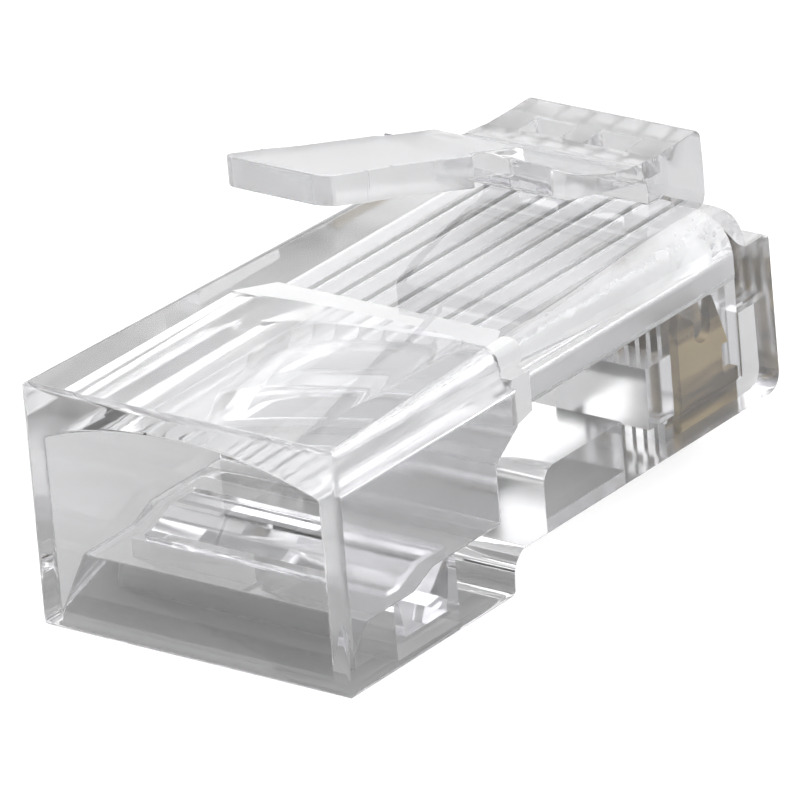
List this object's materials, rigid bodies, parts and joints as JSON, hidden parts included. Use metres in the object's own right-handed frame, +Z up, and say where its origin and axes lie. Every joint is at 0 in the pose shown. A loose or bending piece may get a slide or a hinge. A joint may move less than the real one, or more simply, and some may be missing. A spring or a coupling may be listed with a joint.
{
  "type": "rj45 modular plug",
  "caption": "Clear modular network plug before crimping: open cable cavity, fold-in jacket clamp, springy locking latch and gold contact blades standing in their slots.",
  "frame": {"origin": "below the middle of the plug, on the surface that the underside of its deep rear section rests on", "axes": "+X along the plug from the cable entry to the nose, +Y across it, +Z up, from the contacts' side to the latch"},
  "size_m": [0.0224, 0.0116, 0.0138],
  "materials": {
    "clear_polycarbonate": "clear, polished outside and frosted in the cavity",
    "gold_contact": "gold plated, satin"
  },
  "bodies": {
    "housing": {"housing": "clear_polycarbonate"},
    "latch_lever": {"latch_lever": "clear_polycarbonate"},
    "jacket_clamp": {"jacket_clamp": "clear_polycarbonate"},
    "contact_1": {"contact_1": "gold_contact"},
    "contact_2": {"contact_2": "gold_contact"},
    "contact_3": {"contact_3": "gold_contact"},
    "contact_4": {"contact_4": "gold_contact"},
    "contact_5": {"contact_5": "gold_contact"},
    "contact_6": {"contact_6": "gold_contact"},
    "contact_7": {"contact_7": "gold_contact"},
    "contact_8": {"contact_8": "gold_contact"}
  },
  "joints": [
    {"name": "latch_press", "type": "hinge", "parent": "housing", "child": "latch_lever", "pos_m": [0.00755, 0, 0.00912], "axis": [0, -1, 0], "range_deg": [0, 20], "stiffness_Nm_per_rad": 0.3},
    {"name": "jacket_clamp_fold", "type": "hinge", "parent": "housing", "child": "jacket_clamp", "pos_m": [-0.00558, 0, 0.00212], "axis": [0, 1, 0], "range_deg": [0, 35]},
    {"name": "contact_1_crimp", "type": "slide", "parent": "housing", "child": "contact_1", "axis": [0, 0, 1], "range_m": [0, 0.00094]},
    {"name": "contact_2_crimp", "type": "slide", "parent": "housing", "child": "contact_2", "axis": [0, 0, 1], "range_m": [0, 0.00094]},
    {"name": "contact_3_crimp", "type": "slide", "parent": "housing", "child": "contact_3", "axis": [0, 0, 1], "range_m": [0, 0.00094]},
    {"name": "contact_4_crimp", "type": "slide", "parent": "housing", "child": "contact_4", "axis": [0, 0, 1], "range_m": [0, 0.00094]},
    {"name": "contact_5_crimp", "type": "slide", "parent": "housing", "child": "contact_5", "axis": [0, 0, 1], "range_m": [0, 0.00094]},
    {"name": "contact_6_crimp", "type": "slide", "parent": "housing", "child": "contact_6", "axis": [0, 0, 1], "range_m": [0, 0.00094]},
    {"name": "contact_7_crimp", "type": "slide", "parent": "housing", "child": "contact_7", "axis": [0, 0, 1], "range_m": [0, 0.00094]},
    {"name": "contact_8_crimp", "type": "slide", "parent": "housing", "child": "contact_8", "axis": [0, 0, 1], "range_m": [0, 0.00094]}
  ]
}
